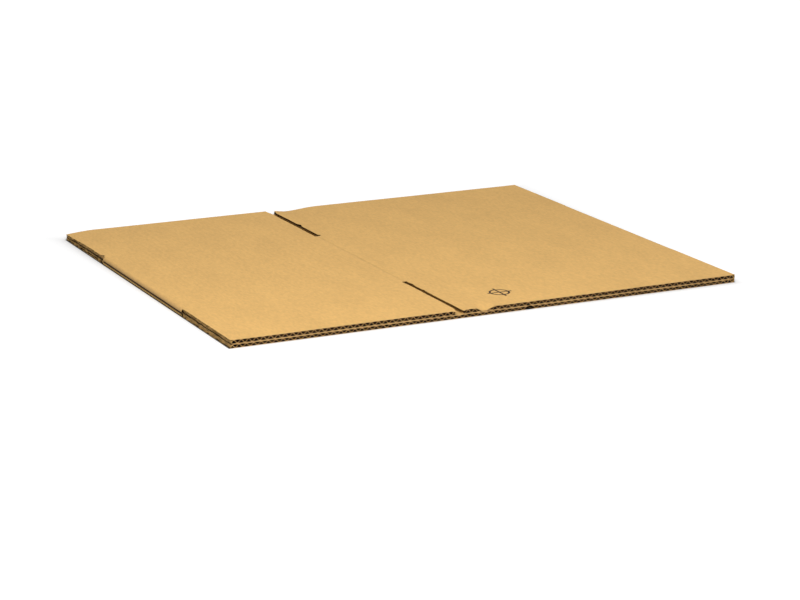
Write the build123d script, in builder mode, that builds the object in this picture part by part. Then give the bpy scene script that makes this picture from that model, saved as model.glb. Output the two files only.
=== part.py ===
from build123d import *

import os
from math import cos, floor, pi, sqrt

# A regular slotted carton, folded flat as it leaves the gluing line.
# One sheet of corrugated board makes four panels in a row, with a glue tab at the end of the row.
# Folded at its two side folds it lies as two layers: the upper one shows the narrow panel on the
# left and the wide panel on the right, and the lower one the wide panel, then the narrow one.
# X runs along the front edge, Y to the back along the flutes, Z up. The origin is at the middle
# of the underside, which rests on the table. All sizes are in millimetres.

# The erected carton
box_length = 330.0
box_width = 250.0
box_height = 230.0

# Corrugated board: two liners with a wavy medium glued between them
board_caliper = 3.8
liner_thickness = 0.45
medium_thickness = 0.40
flute_pitch = 7.7
flute_overrun = 1.0

# Outline of an open flute, from the middle of its cell outwards, as shares of the flute pitch
tip_share = 0.07
flank_share = 0.21
glue_share = 0.37
flank_cover_share = 0.7

# Cuts between the flaps, the gap where the ends of the blank meet, and the flaps' distance from the
# outside of the side folds
slot_width = 5.5
joint_gap = 5.5
flap_setback = 0.5
cut_edge_recess = 1.4
cut_edge_wall = 0.5

# Score lines pressed into the outer face
score_width = 3.0
score_depth = 0.25

# Side folds: the outer liner bulges in two rolls, a small one above a larger one
layer_gap = 0.9
upper_roll_radius = 1.5
roll_setback = 0.85
fold_wall = 2.2

# Glue tab, crushed flat between the layers
tab_width = 35.0
tab_end_clearance = 3.0
tab_end_taper = 8.0
tab_clearance = 0.1
tab_step_run = 2.75

# Edge dents, each given by its distance from the upper score line
front_dent_offset = 26.0
front_dent_depth = 3.0
back_dent_offset = 22.0
back_dent_depth = 1.6
dent_width = 22.0
dent_run = 22.0

# Places that follow from the sizes above
flap_depth = box_width / 2
flat_length = box_length + box_width
flat_depth = box_height + 2 * flap_depth
flat_thickness = 2 * board_caliper + layer_gap
side_x = flat_length / 2
back_y = flat_depth / 2
cut_end_y = back_y + flute_overrun
flap_line = box_height / 2
upper_score_x = box_width - side_x
joint_x = box_length - side_x
upper_base = board_caliper + layer_gap
lower_mid = board_caliper / 2
upper_mid = upper_base + board_caliper / 2
flap_edge_x = side_x - flap_setback
flap_mid_y = flap_line + flap_depth / 2
gap_mid = board_caliper + layer_gap / 2
lower_roll_radius = (flat_thickness - upper_roll_radius) / 2
lower_roll_x = side_x - lower_roll_radius
upper_roll_x = side_x - upper_roll_radius - roll_setback
flute_height = board_caliper - 2 * liner_thickness
glue_x = glue_share * flute_pitch
flank_x = flank_share * flute_pitch
tip_x = tip_share * flute_pitch
tab_thickness = layer_gap - tab_clearance
tab_end_y = flap_line - tab_end_clearance
tab_step_x = joint_x + joint_gap / 2
dents = (
    (upper_score_x + front_dent_offset, front_dent_depth, -1),
    (upper_score_x + back_dent_offset, back_dent_depth, 1),
)


def medium_height(x):
    """Height of the medium's middle line above the board's own: a cosine wave, lowest at x = 0."""
    return (medium_thickness - flute_height) / 2 * cos(2 * pi * x / flute_pitch)


def flute_cell(height):
    """Outline of one open flute, from its glue lines at the liner down to the bottom of the wave.
    In a dent the wave is pressed down to a lower height."""
    press = height / flute_height
    flank_z = medium_height(flank_x) + flank_cover_share * medium_thickness
    tip_z = medium_height(tip_x) + medium_thickness / 2
    right = [(glue_x, height / 2), (flank_x, press * flank_z), (tip_x, press * tip_z)]
    return right + [(-x, z) for x, z in reversed(right)]


def flute_places(left, right):
    """Centre and turn of each open flute of a panel that runs from left to right."""
    clear_edge = cut_edge_recess + cut_edge_wall
    count = floor((right - left - 2 * clear_edge) / flute_pitch)
    first = (left + right) / 2 - (count - 1) * flute_pitch / 2
    for step in range(2 * count - 1):
        yield first + step * flute_pitch / 2, 180 * (step % 2)


def dent_bar_radius(depth):
    """Radius of the round bar that presses a dent of this depth: half chord and depth of an arc."""
    return ((dent_width / 2) ** 2 + depth**2) / (2 * depth)


def pressed_by(x, dent_x, depth):
    """How far the dent at dent_x lowers the liner over the flute at x, where the cell is nearest to it."""
    nearest = max(abs(x - dent_x) - glue_x, 0)
    if nearest >= dent_width / 2:
        return 0
    radius = dent_bar_radius(depth)
    return depth - radius + sqrt(radius**2 - nearest**2)


with BuildPart() as flattened_box:
    # Both layers of the panels and their side folds, in one section drawn out along the flutes
    with BuildSketch(Plane.XZ.offset(-flap_line)):
        for side in (-1, 1):
            with Locations((side * upper_roll_x, flat_thickness - upper_roll_radius)):
                Circle(upper_roll_radius)
            with Locations((side * lower_roll_x, lower_roll_radius)):
                Circle(lower_roll_radius)
        with Locations((0, upper_mid)):
            Rectangle(2 * upper_roll_x, board_caliper)
        with Locations((0, lower_mid)):
            Rectangle(2 * lower_roll_x, board_caliper)
        with Locations((0, gap_mid)):
            Rectangle(2 * (side_x - fold_wall), layer_gap, mode=Mode.SUBTRACT)
    extrude(amount=box_height)

    # The flaps carry both layers on to the front and to the back, free of the folds and of each other
    with Locations([(0, end * flap_mid_y, mid) for end in (-1, 1) for mid in (lower_mid, upper_mid)]):
        Box(2 * flap_edge_x, flap_depth, board_caliper)

    # Slots between the flaps of the upper layer, and the joint gap of the lower one
    with Locations((upper_score_x, flap_mid_y, upper_mid), (upper_score_x, -flap_mid_y, upper_mid)):
        Box(slot_width, flap_depth, board_caliper, mode=Mode.SUBTRACT)
    with Locations((joint_x, 0, lower_mid)):
        Box(joint_gap, flat_depth, board_caliper, mode=Mode.SUBTRACT)

    # Every edge cut along the flutes shows two liners, with the medium drawn back between them
    for end in (-1, 1):
        cut_edges = [(side * flap_edge_x, mid) for side in (-1, 1) for mid in (lower_mid, upper_mid)]
        cut_edges += [(upper_score_x + side * slot_width / 2, upper_mid) for side in (-1, 1)]
        cut_edges += [(joint_x + side * joint_gap / 2, lower_mid) for side in (-1, 1)]
        with Locations([(x, end * flap_mid_y, z) for x, z in cut_edges]):
            Box(2 * cut_edge_recess, flap_depth, flute_height, mode=Mode.SUBTRACT)

    # Glue tab: a crushed strip between the layers, which steps down into the lower narrow panel
    with BuildSketch(Plane.XY.offset(board_caliper)):
        with BuildLine():
            Polyline(
                (tab_step_x, tab_end_y),
                (joint_x - tab_width, tab_end_y - tab_end_taper),
                (joint_x - tab_width, tab_end_taper - tab_end_y),
                (tab_step_x, -tab_end_y),
                close=True,
            )
        make_face()
    extrude(amount=tab_thickness)
    with BuildSketch(Plane.XZ.offset(-tab_end_y)):
        with BuildLine():
            Polyline(
                (tab_step_x - tab_step_run, board_caliper),
                (tab_step_x, board_caliper + tab_thickness),
                (tab_step_x + tab_step_run, board_caliper),
                (tab_step_x, liner_thickness),
                close=True,
            )
        make_face()
    extrude(amount=2 * tab_end_y)

    # Score lines: across both faces at the flaps, and down the upper face between its panels
    with Locations([(0, end * flap_line, z) for end in (-1, 1) for z in (0, flat_thickness)]):
        Box(flat_length, score_width, 2 * score_depth, mode=Mode.SUBTRACT)
    with Locations((upper_score_x, 0, flat_thickness)):
        Box(score_width, box_height, 2 * score_depth, mode=Mode.SUBTRACT)

    # Edge dents: a round bar, tilted down to the edge, has pressed the upper layer
    for dent_x, depth, end in dents:
        radius = dent_bar_radius(depth)
        along = Vector(0, end * dent_run, -depth).normalized()
        upright = Vector(0, end * depth, dent_run).normalized()
        dent_start = Vector(dent_x, end * (back_y - dent_run), flat_thickness)
        with BuildSketch(Plane(origin=dent_start + upright * radius - along * dent_run, z_dir=along)):
            Circle(radius)
        extrude(amount=3 * dent_run, mode=Mode.SUBTRACT)

    # Open flutes: they run out past both cut edges, or end short of a dent.
    # The dent leaves them a shallow mouth, and presses those at its middle shut.
    panels = (
        (-flap_edge_x, upper_score_x - slot_width / 2, upper_mid),
        (upper_score_x + slot_width / 2, flap_edge_x, upper_mid),
        (-flap_edge_x, joint_x - joint_gap / 2, lower_mid),
        (joint_x + joint_gap / 2, flap_edge_x, lower_mid),
    )
    runs = {}
    for left, right, mid_z in panels:
        for x, turn in flute_places(left, right):
            ends = {-1: -cut_end_y, 1: cut_end_y}
            for dent_x, depth, end in dents:
                pressed = pressed_by(x, dent_x, depth)
                if mid_z == upper_mid and pressed > 0:
                    ends[end] = end * (back_y - dent_run)
                    height = flute_height - pressed
                    if height < medium_thickness:
                        continue
                    place = Location((x, upper_base + liner_thickness + height / 2, 0), (0, 0, turn))
                    shallow_ends = sorted((end * cut_end_y, end * (back_y - dent_run + cut_edge_wall)))
                    runs[(*shallow_ends, height, x)] = [place]
            whole = (ends[-1], ends[1], flute_height, 0)
            runs.setdefault(whole, []).append(Location((x, mid_z, 0), (0, 0, turn)))
    open_flutes = []
    for (front_y, rear_y, height, _), places in runs.items():
        with BuildSketch(Plane.XZ.offset(-rear_y), mode=Mode.PRIVATE) as cells:
            with Locations(places):
                Polygon(*flute_cell(height), align=None)
        open_flutes += extrude(cells.sketch, amount=rear_y - front_y, mode=Mode.PRIVATE).solids()
    add(open_flutes, mode=Mode.SUBTRACT)

flattened_box.part.label = "flattened_box"
os.makedirs("parts", exist_ok=True)
export_step(flattened_box.part, "parts/flattened_box.step")
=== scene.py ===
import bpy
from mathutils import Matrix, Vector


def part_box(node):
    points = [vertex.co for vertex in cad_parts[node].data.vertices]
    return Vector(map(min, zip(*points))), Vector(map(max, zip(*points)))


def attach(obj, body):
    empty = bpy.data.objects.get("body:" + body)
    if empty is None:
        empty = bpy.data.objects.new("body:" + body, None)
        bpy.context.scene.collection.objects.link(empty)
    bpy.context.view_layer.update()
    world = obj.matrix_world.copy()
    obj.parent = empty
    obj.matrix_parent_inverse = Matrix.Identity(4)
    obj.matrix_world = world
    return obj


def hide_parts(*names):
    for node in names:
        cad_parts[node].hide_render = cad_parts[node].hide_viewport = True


bl_info = {
    "name": "Flattened cardboard box",
    "version": (1, 0, 0),
    "blender": (4, 5, 0),
    "location": "3D View > Sidebar > Carton",
    "description": "Corrugated carton folded flat: liners, fluted medium and glue tab, on a plain pale stage",
    "category": "Add Mesh",
}

from math import atan2, ceil, cos, hypot, pi, radians, sin, tau

import bpy
import numpy as np
from bpy.props import FloatProperty, FloatVectorProperty, IntProperty, PointerProperty
from mathutils import Matrix, Vector

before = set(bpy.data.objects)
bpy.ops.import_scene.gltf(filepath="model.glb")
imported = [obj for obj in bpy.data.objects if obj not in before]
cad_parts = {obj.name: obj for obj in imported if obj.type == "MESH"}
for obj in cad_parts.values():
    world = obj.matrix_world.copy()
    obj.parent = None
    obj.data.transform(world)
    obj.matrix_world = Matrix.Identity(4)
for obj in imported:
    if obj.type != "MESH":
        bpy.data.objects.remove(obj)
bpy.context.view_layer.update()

# The carton lies folded in two layers. The upper one shows the narrow panel on the left and the wide
# panel on the right, and the lower one is the other way round. X runs along the front edge, Y to the
# back along the flutes, Z up. Everything is in metres.
MM = 0.001
NODE = "flattened_box"
BODY = "root"
SIDE, BACK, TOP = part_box(NODE)[1]

# Places that follow from the carton's sizes
NARROW_PANEL = 250 * MM
FLAP_LINE = BACK - NARROW_PANEL / 2
UPPER_SCORE = NARROW_PANEL - SIDE
JOINT = SIDE - NARROW_PANEL
FLAP_EDGE = SIDE - 0.9 * MM

# Side folds: the outer liner bulges in a large roll above a smaller one, and the inner liner turns
# back inside them. The rolls' centres are those of the left fold, as x and z.
UPPER_ROLL = 3.7 * MM
LOWER_ROLL = (TOP - UPPER_ROLL) / 2
UPPER_ROLL_X = SIDE - UPPER_ROLL - 0.2 * MM
LOWER_ROLL_X = SIDE - LOWER_ROLL
UPPER_CENTRE = (-UPPER_ROLL_X, TOP - UPPER_ROLL)
LOWER_CENTRE = (-LOWER_ROLL_X, LOWER_ROLL)
INNER_FOLD_X = SIDE - 4 * MM
ROLL_POINTS = 18
INNER_FOLD_POINTS = 9

# Roundness of the upper rolls above their middle: 1 is a circle, and less is a squarer corner
LEFT_ROUNDNESS = 1.0
RIGHT_ROUNDNESS = 0.4

# How far the paper of a layer lies inside its cut edges
INNER_SETBACK = 0.5 * MM
MEDIUM_SETBACK = 0.12 * MM

# Gaps between the layers, at the ends of the flaps and over the panels away from the glue tab, how
# much thinner the upper layer is over the panels, and how thin a crushed board can be
END_GAP = 0.1 * MM
PANEL_GAP = 0.45 * MM
PANEL_CRUSH = 0.3 * MM
LEAST_BOARD = 1.2 * MM

# Half width of a slot in the even grids, before their columns are moved to the true cuts
SLOT_HALF = 2.75 * MM

# Places of the dents and of the print, seen from above
FRONT_DENT_X = -13 * MM
BACK_DENT_X = -18 * MM
PRINT_X = 29.5 * MM
PRINT_Y = -195 * MM

# Chips along the sides of the slots and the far left flap: place along y, reach both ways and depth
LEFT_CHIPS = ((-119 * MM, 10 * MM, 0.8 * MM),)
RIGHT_CHIPS = (
    (-155 * MM, 4 * MM, 1.2 * MM),
    (-128 * MM, 9 * MM, 1.0 * MM),
    (107 * MM, 3 * MM, 3.0 * MM),
    (160 * MM, 7 * MM, 2.2 * MM),
)
FLAP_NOTCHES = ((121 * MM, 6 * MM, 3.4 * MM),)

# Image width that the camera is set for, in pixels
IMAGE_WIDTH = 800


def linear(code):
    """Linear RGB of an sRGB colour written as six hex digits."""
    parts = [int(code[at : at + 2], 16) / 255 for at in (0, 2, 4)]
    return [part / 12.92 if part <= 0.04045 else ((part + 0.055) / 1.055) ** 2.4 for part in parts]


# Settings that a user would change


class BoardSettings(bpy.types.PropertyGroup):
    flute_pitch: FloatProperty(
        name="Flute pitch", description="Distance from one flute to the next", default=7.7 * MM, unit="LENGTH"
    )
    outer_liner: FloatProperty(
        name="Outer liner", description="Thickness of the outer paper", default=0.3 * MM, unit="LENGTH"
    )
    inner_liner: FloatProperty(
        name="Inner liner", description="Thickness of the inner paper", default=0.45 * MM, unit="LENGTH"
    )
    medium: FloatProperty(
        name="Medium", description="Thickness of the wavy paper", default=0.38 * MM, unit="LENGTH"
    )
    upper_layer: FloatProperty(
        name="Upper layer", description="Thickness of its board at the ends", default=4.3 * MM, unit="LENGTH"
    )
    layer_gap: FloatProperty(
        name="Layer gap", description="Gap of the layers at the glue tab", default=0.9 * MM, unit="LENGTH"
    )
    points_per_flute: IntProperty(
        name="Points per flute", description="Mesh columns along one wave", default=12, min=6, max=16
    )


class CutSettings(bpy.types.PropertyGroup):
    near_slot: FloatProperty(
        name="Front slot", description="Width of the slot at the front", default=4.4 * MM, unit="LENGTH"
    )
    far_slot: FloatProperty(
        name="Back slot", description="Width of the slot at the back", default=6.1 * MM, unit="LENGTH"
    )
    overcut: FloatProperty(
        name="Overcut", description="Run of the back slot past the flap score", default=11 * MM, unit="LENGTH"
    )
    joint_gap: FloatProperty(
        name="Joint gap", description="Gap between the two ends of the sheet", default=5.5 * MM, unit="LENGTH"
    )
    tab_width: FloatProperty(
        name="Glue tab", description="Width of the glue tab from the joint", default=35 * MM, unit="LENGTH"
    )
    tear: FloatProperty(
        name="Tear", description="How far a torn paper edge wanders", default=0.45 * MM, unit="LENGTH"
    )


class WearSettings(bpy.types.PropertyGroup):
    front_dent: FloatProperty(
        name="Front dent", description="Depth of the dent in the front edge", default=3.2 * MM, unit="LENGTH"
    )
    back_dent: FloatProperty(
        name="Back dent", description="Depth of the dent in the back edge", default=2.4 * MM, unit="LENGTH"
    )
    corner_droop: FloatProperty(
        name="Corner droop", description="Fall of the far left corner", default=2.7 * MM, unit="LENGTH"
    )
    waviness: FloatProperty(
        name="Waviness", description="Rise and fall of the large faces", default=0.1 * MM, unit="LENGTH"
    )


class FinishSettings(bpy.types.PropertyGroup):
    kraft: FloatVectorProperty(
        name="Kraft liner", description="Colour of the outer paper", default=linear("E0B269"), subtype="COLOR"
    )
    # Near black: the fluting's own dark brown, painted darker as the shade inside the flutes
    fluting: FloatVectorProperty(
        name="Fluting", description="Colour of the wavy paper", default=linear("120A05"), subtype="COLOR"
    )
    cut_edge: FloatVectorProperty(
        name="Cut edge", description="Colour of cut paper", default=linear("D8AC70"), subtype="COLOR"
    )
    ink: FloatVectorProperty(
        name="Ink", description="Colour of the register mark", default=linear("35210F"), subtype="COLOR"
    )


class StageSettings(bpy.types.PropertyGroup):
    key_power: FloatProperty(
        name="Key lamp", description="Power of the lamp in front of the box", default=18.0, unit="POWER"
    )
    fill_power: FloatProperty(
        name="Fill lamp", description="Power of the lamp over the box", default=11.0, unit="POWER"
    )
    sky_strength: FloatProperty(
        name="Sky", description="Strength of the even light from all round", default=0.32, min=0.0
    )


# Shapes as functions of whole arrays


def ease(share):
    """Smooth step from 0 to 1: three squares less two cubes, level at both ends."""
    share = np.clip(share, 0.0, 1.0)
    return share * share * (3.0 - 2.0 * share)


def hill(distance, reach):
    """Rounded hill: 1 at no distance, falling along half a cosine to 0 at the reach."""
    return 0.5 + 0.5 * np.cos(pi * np.clip(np.abs(distance) / reach, 0.0, 1.0))


def ramp(distance, run):
    """Straight slope: 1 at no distance, falling evenly to 0 at the end of the run."""
    return np.clip(1.0 - distance / run, 0.0, 1.0)


def torn(along, seed, step):
    """Torn edge, from -1 to 1: random offsets at points one step apart, joined by straight lines."""
    knots = np.arange(-SIDE - step, SIDE + 2 * step, step)
    return np.interp(along, knots, np.random.default_rng(seed).uniform(-1.0, 1.0, len(knots)))


def wander(along, seed, cuts):
    """How far a torn edge lies inside its cut: the tear, times one more than the mean of small and longer
    torn steps."""
    return cuts.tear * (1.0 + 0.5 * torn(along, seed, 3.1 * MM) + 0.5 * torn(along, seed + 100, 11 * MM))


def chipped(y, chips):
    """Depth of the chips along a cut: a rounded hill for each, one on another."""
    return sum(depth * hill(y - middle, reach) for middle, reach, depth in chips)


def grid_lines(*stretches):
    """Places of grid lines. Each stretch is a start and a step in millimetres, and runs on to the next
    one's start in equal steps that are no longer than its own, but for a rounding error."""
    parts = []
    for (start, step), (end, _) in zip(stretches, stretches[1:]):
        parts.append(np.linspace(start, end, ceil(abs(end - start) / step - 0.001), endpoint=False))
    return np.concatenate(parts + [[stretches[-1][0]]]) * MM


def flap_share(y, start=-MM):
    """0 over the panels and 1 over the flaps, easing from one to the other in a millimetre that starts at
    this distance past the flap score."""
    return ease((np.abs(y) - FLAP_LINE - start) / MM)


def slot_share(y, cuts):
    """0 over the panels and 1 beside a slot, changing in the last millimetre before its inner end."""
    return flap_share(y, -MM - np.where(y > 0.0, cuts.overcut, 0.0))


def edge_dent(x, from_edge, middle, depth, reaches, run, rise=1.0, fall=1.0):
    """Dent in an edge: a hill across it, with one reach to the left and one to the right, times a ramp back
    from the edge. The hill is raised to the power of the rise, and the ramp to that of the fall."""
    beside = x - middle
    return depth * hill(beside, np.where(beside < 0.0, *reaches)) ** rise * ramp(from_edge, run) ** fall


def pressed_at_edge(x, y, wear):
    """How far the top face is pressed down near the edges: the two dents, and the corners on both sides of
    the front slot, each a slope away from the slot times a ramp back from the edge."""
    from_front = y + BACK
    from_slot = x - UPPER_SCORE
    front_dent = edge_dent(
        x, from_front, FRONT_DENT_X, wear.front_dent, (9 * MM, 14 * MM), run=24 * MM, rise=0.8, fall=1.2
    )
    back_dent = edge_dent(x, BACK - y, BACK_DENT_X, wear.back_dent, (26 * MM, 44 * MM), run=30 * MM, rise=1.5)
    right_corner = 2.2 * MM * (1.0 - ease(from_slot / (8 * MM))) * ramp(from_front, 30 * MM) ** 1.5
    left_corner = 0.9 * MM * ramp(-from_slot, 9 * MM) * ramp(from_front, 14 * MM)
    return front_dent + np.where(from_slot > 0.0, back_dent + right_corner, left_corner)


def corner_pressed(x, y, wear):
    """How far the far left corner is pressed down: a ramp from each of its edges, one times the other."""
    return wear.corner_droop * ramp(x + SIDE, 34 * MM) ** 1.6 * ramp(BACK - y, 70 * MM)


def score_depth(x, y):
    """Depth of the score lines: shallow rounded grooves between the two panels and at the flaps."""
    panel_score = 0.3 * MM * hill(x - UPPER_SCORE, 1.9 * MM) * (1.0 - flap_share(y))
    return panel_score + 0.04 * MM * hill(np.abs(y) - FLAP_LINE, 1.7 * MM)


def top_face(x, y, wear):
    """Height of the top face: the box's height, less waviness made of three sines 0.17 to 0.31 m long, dents,
    corners and score lines. On each side of the front dent the board bulges, and less is taken off."""
    swell = np.sin(tau * x / 0.31 + 0.8) * np.sin(tau * y / 0.26 + 0.4) + 0.5 * np.sin(tau * (x + y) / 0.17)
    bulge = 0.3 * MM * hill(np.abs(x - FRONT_DENT_X) - 15 * MM, 6 * MM) * ramp(y + BACK, 20 * MM)
    drop = wear.waviness * (1.5 + swell) * ease((SIDE - np.abs(x)) / (25 * MM)) - bulge
    drop = drop + pressed_at_edge(x, y, wear) + corner_pressed(x, y, wear) + score_depth(x, y)
    return TOP - np.maximum(drop, 0.0)


def layer_faces(x, y, settings):
    """Heights of three faces: the top face, the upper board's underside and the lower board's upper side.
    The gap closes up and the upper board grows thicker towards the ends of the flaps, and that board gives
    way where the top is pressed."""
    board, wear = settings.carton_board, settings.carton_wear
    over_panel = 1.0 - ease((np.abs(y) - FLAP_LINE) / (80 * MM))
    over_tab = ease(1.0 - np.abs(x - JOINT + 15 * MM) / (90 * MM))
    top = top_face(x, y, wear)
    dent = np.maximum(pressed_at_edge(x, y, wear) - 0.15 * MM, 0.0)
    crushed = PANEL_CRUSH * over_panel + dent + 0.55 * corner_pressed(x, y, wear) + score_depth(x, y)
    under = top - np.maximum(board.upper_layer - crushed, LEAST_BOARD)
    gap_over_panel = PANEL_GAP + (board.layer_gap - PANEL_GAP) * over_tab
    return top, under, under - END_GAP - over_panel * (gap_over_panel - END_GAP)


# Cut edges


def slot_sides(y, cuts):
    """Left and right side of the upper slots along y: straight, chipped, and easing out to a wider mouth at
    the outer edge of the flaps."""
    near = y < 0.0
    half = np.where(near, cuts.near_slot, cuts.far_slot) / 2
    middle = UPPER_SCORE + np.where(near, 0.1 * MM, 0.35 * MM)
    from_front = y + BACK
    front_mouth = ease(ramp(from_front, 9 * MM))
    back_mouth = ease(ramp(BACK - y, 17 * MM))
    left_mouth = 2.0 * MM * front_mouth + 1.5 * MM * back_mouth
    right_mouth = 0.6 * MM * front_mouth + 1.8 * MM * ease(ramp(from_front, 40 * MM)) + 3.0 * MM * back_mouth
    left = middle - half - left_mouth - chipped(y, LEFT_CHIPS)
    return left, middle + half + right_mouth + chipped(y, RIGHT_CHIPS)


def pull_edges(x, cut_edges):
    """Moves the grid columns of the flaps so that the paper ends at its cut edges. Each edge is a column's x,
    the side on which the paper lies and the true x. The move is whole at the edge, and eases out over 8 mm
    of paper."""
    moved = x.copy()
    for column_x, side, true_x in cut_edges:
        inside = (x - column_x) * side
        weight = np.where(inside > -0.01 * MM, 1.0 - ease(inside / (8 * MM)), 0.0)
        moved += weight * (true_x - column_x)
    return moved


def lower_edges(y, setback, seed, roll, cuts):
    """Cut edges of the lower layer: the outer edges of the flaps. The left one is the more worn, though less
    so at its back corner."""
    worn = 1.0 + 4.0 * ease((BACK - y) / (25 * MM))
    inset = [worn * setback + wander(y, seed, cuts), 0.3 * (setback + wander(y, seed + 1, cuts))]
    left, right = [roll + (FLAP_EDGE - each - roll) * flap_share(y, start=0.0) for each in inset]
    return [(-roll, 1, -left), (roll, -1, right)]


def upper_edges(y, setback, seed, roll, cuts):
    """Cut edges of the upper layer: the outer edges of the flaps, notched on the left, and both sides of the
    slots."""
    (left_x, left_side, left), outer_right = lower_edges(y, setback, seed, roll, cuts)
    notched = (left_x, left_side, left + chipped(y, FLAP_NOTCHES) * flap_share(y, start=0.0))
    slots = []
    for side, cut, count in zip((-1, 1), slot_sides(y, cuts), (2, 3)):
        column_x = UPPER_SCORE + side * SLOT_HALF
        inset = 0.7 * setback + 0.3 * cuts.tear * torn(y, seed + count, 13 * MM)
        slots.append((column_x, side, column_x + (cut + side * inset - column_x) * slot_share(y, cuts)))
    return [notched, outer_right, *slots]


def cut_to_shape(x, y, is_upper, setback, seed, roll, cuts):
    """Moves a grid's columns to the cut edges of its layer, the two ends of the sheet at the joint gap in by
    their tear, fading out over 4 mm, and the last rows a little in from the front and back edges."""
    edges = upper_edges if is_upper else lower_edges
    moved = pull_edges(x, edges(y, setback, seed, roll, cuts))
    if not is_upper:
        nearness = ramp(np.abs(np.abs(moved - JOINT) - cuts.joint_gap / 2), 4 * MM)
        moved = moved + np.sign(moved - JOINT) * wander(y, seed + 5, cuts) * nearness
    worn = 0.35 * cuts.tear * (1.0 + torn(x, seed, 1.9 * MM))
    return moved, y - np.sign(y) * worn * ramp(BACK - np.abs(y), 2 * MM)


# Sheets of paper


def sheet_quads(keep):
    """Quads of a closed sheet over the kept cells of a grid, as three arrays of vertex numbers: the outer
    face, the inner face, and a wall along every edge between a kept cell and none."""
    rows, columns = keep.shape[0] + 1, keep.shape[1] + 1
    count = rows * columns
    number = np.arange(count).reshape(rows, columns)
    corners = [number[:-1, :-1], number[:-1, 1:], number[1:, 1:], number[1:, :-1]]
    outer = np.stack([corner[keep] for corner in corners], axis=1)
    ringed = np.pad(keep, 1)
    beside = [ringed[:-2, 1:-1], ringed[1:-1, 2:], ringed[2:, 1:-1], ringed[1:-1, :-2]]
    walls = []
    for start, end, neighbour in zip(corners, corners[1:] + corners[:1], beside):
        bare = keep & ~neighbour
        first, last = start[bare], end[bare]
        walls.append(np.stack([last, first, first + count, last + count], axis=1))
    return outer, outer[:, ::-1] + count, np.concatenate(walls)


def add_object(name, data):
    """Makes an object of a mesh, lamp or camera, and puts it in the scene."""
    holder = bpy.data.objects.new(name, data)
    bpy.context.scene.collection.objects.link(holder)
    return holder


def add_mesh(name, points, quads, material_numbers, materials):
    """Makes a mesh object of these points and quads, smooth but for edges sharper than 40 degrees."""
    used, numbers = np.unique(quads, return_inverse=True)
    mesh = bpy.data.meshes.new(name)
    mesh.from_pydata(points[used].tolist(), [], numbers.reshape(quads.shape).tolist())
    for material in materials:
        mesh.materials.append(material)
    mesh.polygons.foreach_set("material_index", material_numbers)
    mesh.polygons.foreach_set("use_smooth", np.ones(len(quads), bool))
    mesh.set_sharp_from_angle(angle=radians(40))
    mesh.update()
    return add_object(name, mesh)


def add_paper(name, outer, inner, keep, finishes):
    """Makes one sheet of paper between an outer and an inner grid of points, and ties it to the frame. Its
    finishes are those of the outer face, the inner face and the cut edges."""
    points = np.concatenate([outer.reshape(-1, 3), inner.reshape(-1, 3)])
    faces = sheet_quads(keep)
    numbers = np.repeat(np.arange(3), [len(part) for part in faces])
    piece = add_mesh(name, points, np.concatenate(faces), numbers, [finish(each) for each in finishes])
    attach(piece, BODY)
    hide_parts(NODE)


def grid(x, y, z):
    """Grid of points from its three arrays."""
    return np.stack([x, y, z], axis=2)


def fold_crease():
    """Where the circles of the lower and the upper roll cross on the left, as x and z: the foot of the cross
    line lies on the line between the two centres, and the crossing is square to it."""
    (lower_x, lower_z), (upper_x, upper_z) = LOWER_CENTRE, UPPER_CENTRE
    apart = hypot(upper_x - lower_x, upper_z - lower_z)
    along = (apart**2 + LOWER_ROLL**2 - UPPER_ROLL**2) / (2 * apart)
    aside = (LOWER_ROLL**2 - along**2) ** 0.5
    unit_x, unit_z = (upper_x - lower_x) / apart, (upper_z - lower_z) / apart
    return lower_x + along * unit_x - aside * unit_z, lower_z + along * unit_z + aside * unit_x


def roll_arc(centre, radius, start, end, roundness):
    """Arc of a roll between two angles, as x and z: the centre plus the radius times the cosine and sine,
    each raised to the roundness above the roll's middle."""
    turn = np.linspace(start, end, ROLL_POINTS)
    sides = np.stack([np.cos(turn), np.sin(turn)], axis=1)
    power = np.where(np.sin(turn) > 0.0, roundness, 1.0)[:, None]
    return np.array(centre) + radius * np.sign(sides) * np.abs(sides) ** power


def fold_path(inset, roundness):
    """The left side fold from the floor up, as x and z: an arc of the lower roll from its foot to the crease,
    then one of the upper roll from the crease to its top. The paper is drawn in along a hill at the crease.
    The inset is the depth below the outer face."""
    crease = fold_crease()
    to_crease = [atan2(crease[1] - z, crease[0] - x) % tau for x, z in (LOWER_CENTRE, UPPER_CENTRE)]
    lower = roll_arc(LOWER_CENTRE, LOWER_ROLL - inset, 1.5 * pi, to_crease[0], 1.0)
    upper = roll_arc(UPPER_CENTRE, UPPER_ROLL - inset, to_crease[1], 0.5 * pi, roundness)
    path = np.concatenate([lower[1:-1], [(lower[-1] + upper[0]) / 2], upper[1:-1]])
    path[:, 0] += 1.3 * MM * hill(path[:, 1] - crease[1], 1.1 * MM)
    return path


def mirrored(path):
    """A left fold's path turned into the right fold's, which runs the other way."""
    return path[::-1] * np.array([-1.0, 1.0])


def drawn_out(path, rows):
    """A path of x and z drawn out over all rows as a grid of points, moved in by up to 0.2 mm."""
    inset = 0.1 * MM * (1.0 + torn(rows, 71, 14 * MM))
    path_x, y = np.meshgrid(path[:, 0], rows)
    return grid(path_x * (1.0 - inset[:, None] / SIDE), y, np.broadcast_to(path[:, 1], y.shape))


def liner_rows():
    """Rows of the liners from front to back: fine at the edges, the dents and the flap scores."""
    back, flap = BACK / MM, FLAP_LINE / MM
    front_part = ((-back, 1.4), (26 - back, 3), (-flap - 2, 1), (2 - flap, 12))
    back_part = ((flap - 12, 1), (flap + 2, 3), (back - 18, 1.5), (back, 1))
    return grid_lines(*front_part, *back_part)


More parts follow.
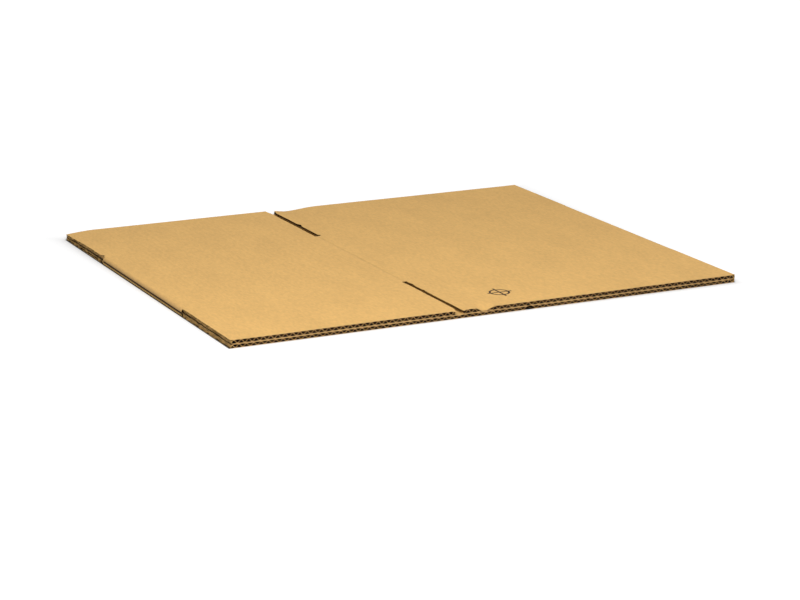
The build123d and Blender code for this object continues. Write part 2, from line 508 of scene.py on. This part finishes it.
def medium_rows():
    """Rows of the medium from front to back: fine at the edges and dents, where the open flutes show."""
    back, flap = BACK / MM, FLAP_LINE / MM
    front_part = ((-back, 1.5), (6 - back, 4), (26 - back, 8.2), (-flap - 2, 3.5), (2 - flap, 38))
    back_part = ((flap - 11, 2), (flap + 2, 8.2), (back - 18, 5), (back, 1))
    return grid_lines(*front_part, *back_part)


def upper_columns():
    """Columns of the upper layer's liners: fine at the flap edges, the slot and the dents."""
    side, roll = SIDE / MM, UPPER_ROLL_X / MM
    slot, half = UPPER_SCORE / MM, SLOT_HALF / MM
    dent = FRONT_DENT_X / MM
    left_part = ((-roll, 0.9), (6 - side, 3), (40 - side, 6), (slot - 14, 2.5), (slot - half - 2, 1))
    slot_part = ((slot - half, half - 1.5), (slot - 1.5, 0.75), (slot + 1.5, half - 1.5), (slot + half, 1))
    dent_part = ((slot + half + 2, 1.3), (dent + 17, 2.5), (dent + 27, 7))
    return grid_lines(*left_part, *slot_part, *dent_part, (side - 12, 3), (side - 6, 0.9), (roll, 1))


def lower_columns(roll_x, cuts):
    """Columns of the lower layer's liners: from the joint gap to the left fold, and from the right fold back
    to the joint gap."""
    side, roll = SIDE / MM, roll_x / MM
    joint, half = JOINT / MM, cuts.joint_gap / 2 / MM
    left = grid_lines((joint - half, 1.2), (joint - half - 5, 8), (14 - side, 3), (-roll, 1))
    right = grid_lines((roll, 3), (side - 14, 8), (joint + half + 5, 1.2), (joint + half, 1))
    return left, right


def cells_within(columns, middle, half):
    """Which cells between these columns lie nearer to the middle than the half width."""
    return np.abs((columns[:-1] + columns[1:]) / 2 - middle) < half


def kept_cells(in_slot, in_fold, rows, cuts):
    """Which cells of a sheet are paper: all but those of the folds in the flaps and those of the slots, which
    end at the flap score in front and run on past it by the overcut at the back."""
    middle = (rows[:-1] + rows[1:]) / 2
    over_panel = np.abs(middle) < FLAP_LINE
    between_slots = over_panel & (middle < FLAP_LINE - cuts.overcut)
    return ~(in_fold[None, :] & ~over_panel[:, None]) & ~(in_slot[None, :] & ~between_slots[:, None])


def kept_liner(left, upper, right, fold_points, rows, cuts):
    """The kept cells of a liner, whose two folds lie between its three flat parts."""
    flat = [np.zeros(len(columns) - 1, bool) for columns in (left, upper, right)]
    fold = np.ones(fold_points + 1, bool)
    in_slot = np.concatenate([flat[0], ~fold, cells_within(upper, UPPER_SCORE, SLOT_HALF), ~fold, flat[2]])
    in_fold = np.concatenate([flat[0], fold, flat[1], fold, flat[2]])
    return kept_cells(in_slot, in_fold, rows, cuts)


def flat_parts(columns, rows, setback, seed, rolls, cuts):
    """The flat parts of a liner: the lower layer from the joint gap to the left, the upper layer, and the
    lower layer back from the right. Each is whether it is upper, x, y, and y before it was cut to shape."""
    for count, (part, roll) in enumerate(zip(columns, rolls)):
        x, y = np.meshgrid(part, rows)
        is_upper = count == 1
        yield is_upper, *cut_to_shape(x, y, is_upper, setback, seed + 6 * count, roll, cuts), y


def liner_face(parts, folds):
    """One face of a liner: the points of its three flat parts, with the two folds between them."""
    return np.concatenate([parts[0], folds[0], parts[1], folds[1], parts[2]], axis=1)


def build_outer_liner(scene):
    """The outer liner in one sheet: from the joint gap along the floor, up the left fold, over the top, down
    the right fold and back to the joint gap. Its inner face lies one thickness inside."""
    board, cuts, wear = scene.carton_board, scene.carton_cuts, scene.carton_wear
    rows = liner_rows()
    left, right = lower_columns(LOWER_ROLL_X, cuts)
    columns = (left, upper_columns(), right)
    flats = list(flat_parts(columns, rows, 0.0, 11, (LOWER_ROLL_X, UPPER_ROLL_X, LOWER_ROLL_X), cuts))
    faces = []
    for depth in (0.0, board.outer_liner):
        parts = []
        for is_upper, x, y, y0 in flats:
            parts.append(grid(x, y, top_face(x, y0, wear) - depth if is_upper else np.full_like(x, depth)))
        left_fold = fold_path(depth, LEFT_ROUNDNESS)
        right_fold = mirrored(fold_path(depth, RIGHT_ROUNDNESS))
        faces.append(liner_face(parts, [drawn_out(fold, rows) for fold in (left_fold, right_fold)]))
    keep = kept_liner(*columns, len(left_fold), rows, cuts)
    add_paper("outer_liner", *faces, keep, ("kraft_liner", "fluting_paper", "cut_paper"))


def build_inner_liner(scene):
    """The inner liner in one sheet beside the gap between the layers, with a tight half turn in each fold: an
    arc about the middle of the gap."""
    board, cuts = scene.carton_board, scene.carton_cuts
    rows = liner_rows()
    left, right = lower_columns(INNER_FOLD_X, cuts)
    upper = upper_columns()
    upper[0], upper[-1] = -INNER_FOLD_X, INNER_FOLD_X
    columns = (left, upper, right)
    flats = list(flat_parts(columns, rows, INNER_SETBACK, 31, [INNER_FOLD_X] * 3, cuts))
    turn = np.linspace(1.5 * pi, 0.5 * pi, INNER_FOLD_POINTS)[1:-1]
    faces = []
    for depth in (board.inner_liner, 0.0):
        parts = []
        for is_upper, x, y, y0 in flats:
            _, under, over = layer_faces(x, y0, scene)
            parts.append(grid(x, y, under + depth if is_upper else over - depth))
        folds = []
        for side, angle in ((-1, turn), (1, turn[::-1])):
            x, y = np.meshgrid(np.full(len(turn), side * INNER_FOLD_X), rows)
            _, under, over = layer_faces(x, y, scene)
            middle, radius = (under + over) / 2, (under - over) / 2 + depth
            folds.append(grid(x - side * radius * np.cos(angle), y, middle + radius * np.sin(angle)))
        faces.append(liner_face(parts, folds))
    keep = kept_liner(*columns, len(turn), rows, cuts)
    add_paper("inner_liner", *faces, keep, ("fluting_paper", "inner_kraft", "cut_paper"))


def wave(x, low, high, squeeze, phase, board):
    """Lower and upper face of the medium between two liners. Its middle line is a cosine wave along x, and
    where it is squeezed it is pressed up to the upper liner, but no flatter than 1.2 times its paper. Its
    faces lie half a thickness either side of the line, measured square to the slope."""
    height = np.maximum((high - low) * (1.0 - squeeze), board.medium * 1.2)
    swing = (height - board.medium) / 2
    angle = tau * x / board.flute_pitch + phase
    middle = high - height / 2 + swing * np.cos(angle)
    slope = swing * tau / board.flute_pitch * np.sin(angle)
    half = board.medium / 2 * np.sqrt(1.0 + slope**2)
    return middle - half, middle + half


def dragged_out(x, y, lower_face, upper_face, low, high, seed):
    """The medium's faces where the cuts at the sides of the flaps have dragged it out: within 1.3 mm of the
    side the upper face eases up to the upper liner, and the lower one down to the lower liner. On the left
    torn bites lift the lower face by up to 0.6 of the height between the liners, and sink the upper one by
    half as much."""
    dragged = flap_share(y) * (1.0 - ease((LOWER_ROLL_X - np.abs(x)) / (1.3 * MM)))
    bite = np.maximum(torn(y, seed + 9, 5 * MM) - 0.1, 0.0)
    ragged = (high - low) * np.minimum(0.05 + 0.8 * bite, 0.6) * (x < 0.0)
    upper_face = upper_face + dragged * (high - ragged / 2 - upper_face)
    return lower_face + dragged * (low + ragged - lower_face), upper_face


def build_medium(scene, layer):
    """The wavy medium of one layer, tucked into its liners by a glue line. It stops short of every cut edge,
    is crushed towards the side folds and the panel score, and dragged out at the sides of the flaps."""
    board, cuts = scene.carton_board, scene.carton_cuts
    is_upper = layer == "upper"
    seed = 53 if is_upper else 61
    phase = 0.0 if is_upper else 1.9
    glue_line = 0.02 * MM
    rows = medium_rows()
    step = board.flute_pitch / board.points_per_flute
    columns = np.linspace(-LOWER_ROLL_X, LOWER_ROLL_X, round(2 * LOWER_ROLL_X / step) + 1)
    x0, y0 = np.meshgrid(columns, rows)
    x, y = cut_to_shape(x0, y0, is_upper, MEDIUM_SETBACK, seed, LOWER_ROLL_X, cuts)
    top, under, over = layer_faces(x, y0, scene)
    over_panel = 1.0 - flap_share(y0)
    squeeze = 0.85 * over_panel * hill(LOWER_ROLL_X - np.abs(x0), 5 * MM)
    if is_upper:
        squeeze = np.maximum(squeeze, 0.5 * over_panel * hill(x0 - UPPER_SCORE, 3 * MM))
        low, high = under + board.inner_liner - glue_line, top - board.outer_liner + glue_line
        in_slot = cells_within(columns, UPPER_SCORE, SLOT_HALF)
        keep = kept_cells(in_slot, np.zeros_like(in_slot), rows, cuts)
    else:
        low, high = np.full_like(x, board.outer_liner - glue_line), over - board.inner_liner + glue_line
        keep = np.tile(~cells_within(columns, JOINT, cuts.joint_gap / 2), (len(rows) - 1, 1))
    lower_face, upper_face = wave(x, low, high, squeeze, phase, board)
    lower_face, upper_face = dragged_out(x0, y0, lower_face, upper_face, low, high, seed)
    faces = grid(x, y, upper_face), grid(x, y, lower_face)
    add_paper(f"{layer}_medium", *faces, keep, ("fluting_paper", "fluting_paper", "cut_fluting"))


def build_glue_tab(scene):
    """The glue tab: a crushed strip that leaves the lower narrow panel at the joint gap, steps up in an easy
    curve and lies between the layers, rippled by their flutes. Its ends are cut at a slant, and it is torn
    a little there and along its free edge."""
    board, cuts = scene.carton_board, scene.carton_cuts
    start = JOINT - cuts.tab_width
    step_x = JOINT - 2 * MM
    root = JOINT + cuts.joint_gap / 2 + 1.5 * MM
    half = 0.36 * MM
    step_fall = 1.1 * MM
    torn_by = 0.4 * MM
    flat_columns, step_columns, row_count = 34, 10, 90
    flat_part = np.linspace(start, step_x, flat_columns, endpoint=False)
    columns = np.concatenate([flat_part, np.linspace(step_x, root, step_columns)])
    x0, share = np.meshgrid(columns, np.linspace(-1.0, 1.0, row_count))
    slant = 8 * MM * ramp(x0 - start, 32 * MM)
    y = share * (FLAP_LINE - 3 * MM - slant + torn_by * torn(x0, 83, 3 * MM))
    x = x0 + torn_by * torn(y, 87, 3 * MM) * ramp(x0 - start, 3 * MM)
    _, under, over = layer_faces(x, y, scene)
    middle = (under + over) / 2 - step_fall * ease((x0 - step_x) / (root - step_x))
    middle = middle + 0.05 * MM * np.cos(tau * x / board.flute_pitch)
    keep = np.ones((row_count - 1, len(columns) - 1), bool)
    faces = grid(x, y, middle + half), grid(x, y, middle - half)
    add_paper("glue_tab", *faces, keep, ("inner_kraft", "inner_kraft", "cut_paper"))


# Materials


def add_node(tree, kind, values=None, links=None, **settings):
    """Adds a shader node with its settings and input values, and links inputs to the given outputs. A node
    in place of an output stands for its first one."""
    node = tree.nodes.new(kind)
    for key, value in settings.items():
        setattr(node, key, value)
    for key, value in (values or {}).items():
        node.inputs[key].default_value = value
    for key, source in (links or {}).items():
        tree.links.new(getattr(source, "outputs", [source])[0], node.inputs[key])
    return node


def emptied_tree(owner):
    """The node tree of a material or a world, with no nodes left in it."""
    owner.use_nodes = True
    owner.node_tree.nodes.clear()
    return owner.node_tree


def paper(name, colour, contrast, grain, gloss=0.5):
    """Kraft paper: fibres and the flutes behind it make its colour a fine mottle, drawn out along the flutes,
    on faint clouds, and its surface a matt grain. Single fibres are too fine to show, so they are drawn as
    clumps 2.2 mm wide and 6 mm long. Returns the material, its tree and what is built on: the shader, the
    place on the object, the colour and the normal."""
    material = bpy.data.materials.new(name)
    tree = emptied_tree(material)
    shader = add_node(tree, "ShaderNodeBsdfPrincipled", {"Roughness": 0.85, "Specular IOR Level": gloss})
    add_node(tree, "ShaderNodeOutputMaterial", links={"Surface": shader.outputs["BSDF"]})
    where = add_node(tree, "ShaderNodeTexCoord").outputs["Object"]
    patterns = []
    for width, length, detail in ((2.2 * MM, 6 * MM, 4.0), (40 * MM, 90 * MM, 3.0)):
        scale = (1 / width, 1 / length, 1 / length)
        spread = add_node(tree, "ShaderNodeMapping", {"Scale": scale}, {"Vector": where})
        noise = add_node(tree, "ShaderNodeTexNoise", {"Scale": 1.0, "Detail": detail}, {"Vector": spread})
        patterns.append(noise.outputs["Fac"])
    fibres, clouds = patterns
    both = add_node(tree, "ShaderNodeMath", {1: 0.5}, {0: clouds, 2: fibres}, operation="MULTIPLY_ADD")
    shade = add_node(tree, "ShaderNodeMapRange", {"From Min": 0.48, "From Max": 1.02}, {"Value": both})
    darker, lighter = [[part * (1.0 + share) for part in colour] + [1.0] for share in (-contrast, contrast)]
    shades = {6: darker, 7: lighter}
    mottle = add_node(tree, "ShaderNodeMix", shades, {0: shade}, data_type="RGBA").outputs[2]
    bump = add_node(tree, "ShaderNodeBump", {"Strength": grain, "Distance": 0.15 * MM}, {"Height": fibres})
    tree.links.new(mottle, shader.inputs["Base Color"])
    tree.links.new(bump.outputs["Normal"], shader.inputs["Normal"])
    return material, tree, shader, where, mottle, bump.outputs["Normal"]


def measured(tree, where):
    """A point's x, y and z, then how far it lies from the middle of the box along x and along y, and along x
    from the score line between the upper panels."""
    x, y, z = add_node(tree, "ShaderNodeSeparateXYZ", links={0: where}).outputs
    from_score = add_node(tree, "ShaderNodeMath", {1: UPPER_SCORE}, {0: x}, operation="SUBTRACT")
    spans = []
    for offset in (x, y, from_score):
        spans.append(add_node(tree, "ShaderNodeMath", links={0: offset}, operation="ABSOLUTE"))
    return (x, y, z), spans


def darken_score_line(tree, colour, beside_score, over_panel, ink):
    """The score line between the two upper panels, darkened a tenth of the way to ink at its middle: partly
    the pressed paper, partly painted shade of its shallow groove.
    """
    score_range = {"From Min": 0.3 * MM, "From Max": 2.4 * MM, "To Min": 0.1, "To Max": 0.0}
    # Painted shade of the groove, with the pressed paper's darkening
    pressed = add_node(tree, "ShaderNodeMapRange", score_range, {"Value": beside_score})
    share = add_node(tree, "ShaderNodeMath", links={0: pressed, 1: over_panel}, operation="MULTIPLY")
    return add_node(tree, "ShaderNodeMix", {7: ink}, {0: share, 6: colour}, data_type="RGBA").outputs[2]


def paint_fold_light_and_shade(tree, colour, z, outwards, over_panel):
    """The side folds, tinted by their height as painted light and shade: lighter below the crease, most at
    the floor, near black in the crease, and a little greyer above it. Each tint is given by its rise over the
    crease in millimetres."""
    crease = fold_crease()[1]
    # Painted shade in the crease: near black
    crushed = (0.05, 0.035, 0.03)
    tints = (
        (-2.0, (1.25, 1.3, 1.25)),
        (-1.3, (0.75, 0.75, 0.75)),
        (-0.6, crushed),
        (0.3, crushed),
        (0.7, (0.9, 0.92, 1.1)),
        (3.6, (0.95, 0.96, 1.05)),
    )
    height = add_node(tree, "ShaderNodeMath", {1: TOP}, {0: z}, operation="DIVIDE")
    fold_light_and_shade = add_node(tree, "ShaderNodeValToRGB", links={"Fac": height})
    stops = fold_light_and_shade.color_ramp.elements
    # Painted light at the foot of the fold, where the floor gives little light back
    stops[0].color = (1.3, 1.4, 1.4, 1.0)
    stops[1].color = (1.0, 1.0, 1.0, 1.0)
    for rise, tint in tints:
        stops.new((crease + rise * MM) / TOP).color = (*tint, 1.0)
    fold_range = {"From Min": UPPER_ROLL_X, "From Max": UPPER_ROLL_X + 2 * MM}
    at_fold = add_node(tree, "ShaderNodeMapRange", fold_range, {"Value": outwards})
    on_fold = add_node(tree, "ShaderNodeMath", links={0: over_panel, 1: at_fold}, operation="MULTIPLY")
    layers = {0: on_fold, 6: colour, 7: fold_light_and_shade.outputs["Color"]}
    return add_node(tree, "ShaderNodeMix", links=layers, data_type="RGBA", blend_type="MULTIPLY").outputs[2]


def print_register_mark(tree, colour, x, y, z, ink):
    """A ring and a cross about one centre, in lines 2.2 mm wide, on the top face only."""
    half_line = 1.1 * MM
    ring_radius, half_length, half_breadth = 10 * MM, 15 * MM, 14 * MM
    aside = add_node(tree, "ShaderNodeMath", {1: PRINT_X}, {0: x}, operation="SUBTRACT")
    along = add_node(tree, "ShaderNodeMath", {1: PRINT_Y}, {0: y}, operation="SUBTRACT")
    flat = add_node(tree, "ShaderNodeCombineXYZ", links={"X": aside, "Y": along})
    radius = add_node(tree, "ShaderNodeVectorMath", links={0: flat}, operation="LENGTH").outputs["Value"]
    ring_sizes = {1: ring_radius, 2: half_line}
    mark = add_node(tree, "ShaderNodeMath", ring_sizes, {0: radius}, operation="COMPARE")
    for across, lengthways, reach in ((aside, along, half_length), (along, aside, half_breadth)):
        inside = []
        for offset, limit in ((across, half_line), (lengthways, reach)):
            limits = {1: 0.0, 2: limit}
            inside.append(add_node(tree, "ShaderNodeMath", limits, {0: offset}, operation="COMPARE"))
        both = {0: inside[0], 1: inside[1]}
        bar = add_node(tree, "ShaderNodeMath", links=both, operation="MULTIPLY")
        mark = add_node(tree, "ShaderNodeMath", links={0: mark, 1: bar}, operation="MAXIMUM")
    on_top = add_node(tree, "ShaderNodeMath", {1: TOP / 2}, {0: z}, operation="GREATER_THAN")
    share = add_node(tree, "ShaderNodeMath", links={0: mark, 1: on_top}, operation="MULTIPLY")
    return add_node(tree, "ShaderNodeMix", {7: ink}, {0: share, 6: colour}, data_type="RGBA").outputs[2]


def kraft_liner():
    """Unbleached kraft liner, machine finished: a warm tan, matt paper. The flutes show through it as a faint
    washboard, and a small register mark is printed on it in dark brown ink."""
    scene = bpy.context.scene
    ink = (*scene.carton_finish.ink, 1.0)
    material, tree, shader, where, colour, normal = paper("kraft_liner", scene.carton_finish.kraft, 0.1, 0.3)
    (x, y, z), (outwards, lengthways, beside_score) = measured(tree, where)
    turn_rate = {1: tau / scene.carton_board.flute_pitch}
    turns = add_node(tree, "ShaderNodeMath", turn_rate, {0: x}, operation="MULTIPLY")
    ribs = add_node(tree, "ShaderNodeMath", links={0: turns}, operation="COSINE")
    rib_sizes = {"Strength": 1.0, "Distance": 0.03 * MM}
    washboard = add_node(tree, "ShaderNodeBump", rib_sizes, {"Height": ribs, "Normal": normal})
    tree.links.new(washboard.outputs["Normal"], shader.inputs["Normal"])
    panel_end = {1: FLAP_LINE}
    over_panel = add_node(tree, "ShaderNodeMath", panel_end, {0: lengthways}, operation="LESS_THAN")
    # The score line: darker pressed paper and painted shade of its groove
    colour = darken_score_line(tree, colour, beside_score, over_panel, ink)
    # Painted light and shade on the side folds, by height
    colour = paint_fold_light_and_shade(tree, colour, z, outwards, over_panel)
    colour = print_register_mark(tree, colour, x, y, z, ink)
    tree.links.new(colour, shader.inputs["Base Color"])
    return material


def inner_kraft():
    """Inner side of the liner: the same paper, a little duller from lying against the other layer."""
    duller = [part * 0.85 for part in bpy.context.scene.carton_finish.kraft]
    return paper("inner_kraft", duller, 0.05, 0.3)[0]


def worn_paper_and_slot_shade(name, colour, contrast, grain):
    """Paper painted one dull brown along the slots, as painted shade of the narrow slots, and worn to brown
    shreds about 8 mm long and 1.2 mm high within 4 mm of the outer flap edges, where the box's cut sides wear
    most."""
    material, tree, shader, where, colour, _ = paper(name, colour, contrast, grain, gloss=0.15)
    kraft = bpy.context.scene.carton_finish.kraft
    dull, dark, light = [[part * share for part in kraft] + [1.0] for share in (0.42, 0.15, 0.8)]
    _, (outwards, lengthways, beside_slot) = measured(tree, where)
    # Painted shade along the slots: every wall there turns one dull brown
    slot_range = {"From Min": 7 * MM, "From Max": 5 * MM}
    near_slot = add_node(tree, "ShaderNodeMapRange", slot_range, {"Value": beside_slot})
    slot_end = {1: BACK - 5 * MM}
    inside = add_node(tree, "ShaderNodeMath", slot_end, {0: lengthways}, operation="LESS_THAN")
    at_slot = add_node(tree, "ShaderNodeMath", links={0: near_slot, 1: inside}, operation="MULTIPLY")
    with_slot_shade = add_node(tree, "ShaderNodeMix", {7: dull}, {0: at_slot, 6: colour}, data_type="RGBA").outputs[2]
    scale = (1 / (2 * MM), 1 / (8 * MM), 1 / (1.2 * MM))
    spread = add_node(tree, "ShaderNodeMapping", {"Scale": scale}, {"Vector": where})
    noise = add_node(tree, "ShaderNodeTexNoise", {"Scale": 1.0, "Detail": 2.0}, {"Vector": spread})
    shred_range = {"From Min": 0.4, "From Max": 0.58}
    share = add_node(tree, "ShaderNodeMapRange", shred_range, {"Value": noise.outputs["Fac"]})
    shredded = add_node(tree, "ShaderNodeMix", {6: dark, 7: light}, {0: share}, data_type="RGBA").outputs[2]
    side_range = {"From Min": SIDE - 4 * MM, "From Max": SIDE - 1.5 * MM}
    at_side = add_node(tree, "ShaderNodeMapRange", side_range, {"Value": outwards})
    mix = add_node(tree, "ShaderNodeMix", links={0: at_side, 6: with_slot_shade, 7: shredded}, data_type="RGBA")
    tree.links.new(mix.outputs[2], shader.inputs["Base Color"])
    return material


def fluting_paper():
    """Semi-chemical fluting and the liners' glued sides: a rough brown, darker than the liner, painted near
    black as the shade inside the flutes.
    """
    return worn_paper_and_slot_shade("fluting_paper", bpy.context.scene.carton_finish.fluting, 0.1, 0.4)


def cut_paper():
    """Knife-cut edge of the liners: open fibres, which look dull and quite matt."""
    return worn_paper_and_slot_shade("cut_paper", bpy.context.scene.carton_finish.cut_edge, 0.25, 0.5)


def cut_fluting():
    """Knife-cut edge of the wavy paper: the same open fibres, at 1.4 times the cut edge's colour, so its thin
    zigzag shows.
    """
    pale = [part * 1.4 for part in bpy.context.scene.carton_finish.cut_edge]
    return worn_paper_and_slot_shade("cut_fluting", pale, 0.2, 0.5)


PAPERS = (kraft_liner, inner_kraft, fluting_paper, cut_paper, cut_fluting)
FINISHES = {maker.__name__: maker for maker in PAPERS}


def finish(name):
    """The material of that name, made when it is first asked for."""
    return bpy.data.materials.get(name) or FINISHES[name]()


# Stage


def add_lamp(name, power, size, location, target):
    """A soft square lamp that faces its target."""
    lamp = bpy.data.lights.new(name, "AREA")
    lamp.energy = power
    lamp.size = size
    holder = add_object(name, lamp)
    holder.location = location
    holder.rotation_euler = (Vector(target) - Vector(location)).to_track_quat("-Z", "Y").to_euler()


def add_camera():
    """The photograph's camera, fitted to the corners, slots and folds of the box. It looks down from the
    front left, and is rolled by a third of a degree."""
    focal_pixels = 2440.7
    azimuth, elevation, roll = radians(26.543), radians(15.332), radians(0.318)
    distance = 2479.9 * MM
    target = Vector((-76.98 * MM, -179.36 * MM, TOP))
    forward = Vector((sin(azimuth) * cos(elevation), cos(azimuth) * cos(elevation), -sin(elevation)))
    camera = bpy.data.cameras.new("camera")
    camera.sensor_width = 36.0
    camera.lens = camera.sensor_width * focal_pixels / IMAGE_WIDTH
    camera.clip_end = 100.0
    turned = forward.to_track_quat("-Z", "Y").to_matrix() @ Matrix.Rotation(roll, 3, "Z")
    holder = add_object("camera", camera)
    holder.matrix_world = Matrix.Translation(target - forward * distance) @ turned.to_4x4()
    bpy.context.scene.camera = holder


def floor_material():
    """Plain white floor. To the camera it is white paper that takes the box's shadow, and that glows more and
    more with distance from the box, up to an even white. Under the box it is painted dark, as painted shade
    that the joint gap shows. The box itself gets the softer light of a grey floor."""
    material = bpy.data.materials.new("plain_floor")
    tree = emptied_tree(material)
    edges = {1: (SIDE, BACK, 0.0)}
    where = add_node(tree, "ShaderNodeTexCoord").outputs["Object"]
    outwards = add_node(tree, "ShaderNodeVectorMath", links={0: where}, operation="ABSOLUTE")
    beyond = add_node(tree, "ShaderNodeVectorMath", edges, {0: outwards}, operation="SUBTRACT")
    x, y, _ = add_node(tree, "ShaderNodeSeparateXYZ", links={0: beyond}).outputs
    distance = add_node(tree, "ShaderNodeMath", links={0: x, 1: y}, operation="MAXIMUM")
    glow_range = {"From Min": 0.0, "From Max": 0.5}
    share = add_node(tree, "ShaderNodeMapRange", glow_range, {"Value": distance})
    glow_ramp = add_node(tree, "ShaderNodeValToRGB", links={"Fac": share})
    for position, level in ((0.02, 0.15), (0.1, 0.35)):
        glow_ramp.color_ramp.elements.new(position).color = (level, level, level, 1.0)
    glow = add_node(tree, "ShaderNodeEmission", {"Strength": 1.0}, {"Color": glow_ramp.outputs["Color"]})
    white_range = {"From Min": -0.5 * MM, "From Max": 0.5 * MM, "To Min": 0.02, "To Max": 0.95}
    # Painted shade: to the camera the floor under the box is near black, where the joint gap shows it
    white_and_shade_under_box = add_node(tree, "ShaderNodeMapRange", white_range, {"Value": distance})
    white = add_node(tree, "ShaderNodeBsdfDiffuse", links={"Color": white_and_shade_under_box})
    seen = add_node(tree, "ShaderNodeAddShader", links={0: white, 1: glow})
    grey = add_node(tree, "ShaderNodeBsdfDiffuse", {"Color": (0.4, 0.4, 0.4, 1.0)})
    is_camera = add_node(tree, "ShaderNodeLightPath").outputs["Is Camera Ray"]
    mix = add_node(tree, "ShaderNodeMixShader", links={0: is_camera, 1: grey, 2: seen})
    add_node(tree, "ShaderNodeOutputMaterial", links={"Surface": mix})
    return material


def even_sky(strength):
    """World of even white light from all round. To the camera it is a plain white."""
    world = bpy.data.worlds.new("even_sky")
    tree = emptied_tree(world)
    lights = []
    for level in (strength, 1.0):
        colour = {"Strength": level, "Color": (1.0, 1.0, 1.0, 1.0)}
        lights.append(add_node(tree, "ShaderNodeBackground", colour))
    is_camera = add_node(tree, "ShaderNodeLightPath").outputs["Is Camera Ray"]
    mix = add_node(tree, "ShaderNodeMixShader", links={0: is_camera, 1: lights[0], 2: lights[1]})
    add_node(tree, "ShaderNodeOutputWorld", links={"Surface": mix})
    return world


def build_stage(scene):
    """Floor, sky, lamps and camera."""
    stage = scene.carton_stage
    reach = 30.0
    mesh = bpy.data.meshes.new("floor")
    corners = [(-reach, -reach, 0.0), (reach, -reach, 0.0), (reach, reach, 0.0), (-reach, reach, 0.0)]
    mesh.from_pydata(corners, [], [(0, 1, 2, 3)])
    mesh.materials.append(floor_material())
    floor = add_object("floor", mesh)
    scene.world = even_sky(stage.sky_strength)
    add_lamp("key_lamp", stage.key_power, size=0.9, location=(-0.48, -1.12, 1.05), target=(-0.15, -0.1, 0.0))
    add_lamp("fill_lamp", stage.fill_power, size=2.0, location=(0.2, 0.3, 2.0), target=(0.0, 0.0, 0.0))
    add_camera()
    scene.view_settings.view_transform = "Standard"


# Operators, panel and registration


class CARTON_OT_outer_liner(bpy.types.Operator):
    """Adds the outer liner, with its slots, folds, score lines and dents"""

    bl_idname = "carton.outer_liner"
    bl_label = "Outer Liner"

    def execute(self, context):
        build_outer_liner(context.scene)
        return {"FINISHED"}


class CARTON_OT_inner_liner(bpy.types.Operator):
    """Adds the inner liner, which lines the gap between the layers"""

    bl_idname = "carton.inner_liner"
    bl_label = "Inner Liner"

    def execute(self, context):
        build_inner_liner(context.scene)
        return {"FINISHED"}


class CARTON_OT_mediums(bpy.types.Operator):
    """Adds the wavy medium of both layers"""

    bl_idname = "carton.mediums"
    bl_label = "Fluted Medium"

    def execute(self, context):
        build_medium(context.scene, "upper")
        build_medium(context.scene, "lower")
        return {"FINISHED"}


class CARTON_OT_glue_tab(bpy.types.Operator):
    """Adds the glue tab between the layers"""

    bl_idname = "carton.glue_tab"
    bl_label = "Glue Tab"

    def execute(self, context):
        build_glue_tab(context.scene)
        return {"FINISHED"}


class CARTON_OT_stage(bpy.types.Operator):
    """Adds the floor, the lamps, the sky and the camera"""

    bl_idname = "carton.stage"
    bl_label = "Stage"

    def execute(self, context):
        build_stage(context.scene)
        return {"FINISHED"}


class CARTON_PT_panel(bpy.types.Panel):
    """Lists the carton's settings and the operators that build it"""

    bl_idname = "CARTON_PT_panel"
    bl_label = "Flattened Carton"
    bl_space_type = "VIEW_3D"
    bl_region_type = "UI"
    bl_category = "Carton"

    def draw(self, context):
        for group in SETTINGS:
            settings = getattr(context.scene, group)
            for name in settings.bl_rna.properties.keys():
                if name not in ("rna_type", "name"):
                    self.layout.prop(settings, name)
        for operator in OPERATORS:
            self.layout.operator(operator.bl_idname)


SETTINGS = {
    "carton_board": BoardSettings,
    "carton_cuts": CutSettings,
    "carton_wear": WearSettings,
    "carton_finish": FinishSettings,
    "carton_stage": StageSettings,
}
OPERATORS = (
    CARTON_OT_outer_liner,
    CARTON_OT_inner_liner,
    CARTON_OT_mediums,
    CARTON_OT_glue_tab,
    CARTON_OT_stage,
)


def register():
    for group, settings in SETTINGS.items():
        bpy.utils.register_class(settings)
        setattr(bpy.types.Scene, group, PointerProperty(type=settings))
    for operator in OPERATORS:
        bpy.utils.register_class(operator)
    bpy.utils.register_class(CARTON_PT_panel)


def unregister():
    bpy.utils.unregister_class(CARTON_PT_panel)
    for operator in reversed(OPERATORS):
        bpy.utils.unregister_class(operator)
    for group, settings in SETTINGS.items():
        delattr(bpy.types.Scene, group)
        bpy.utils.unregister_class(settings)


def main():
    register()
    bpy.ops.carton.outer_liner()
    bpy.ops.carton.inner_liner()
    bpy.ops.carton.mediums()
    bpy.ops.carton.glue_tab()
    bpy.ops.carton.stage()


if __name__ == "__main__":
    main()
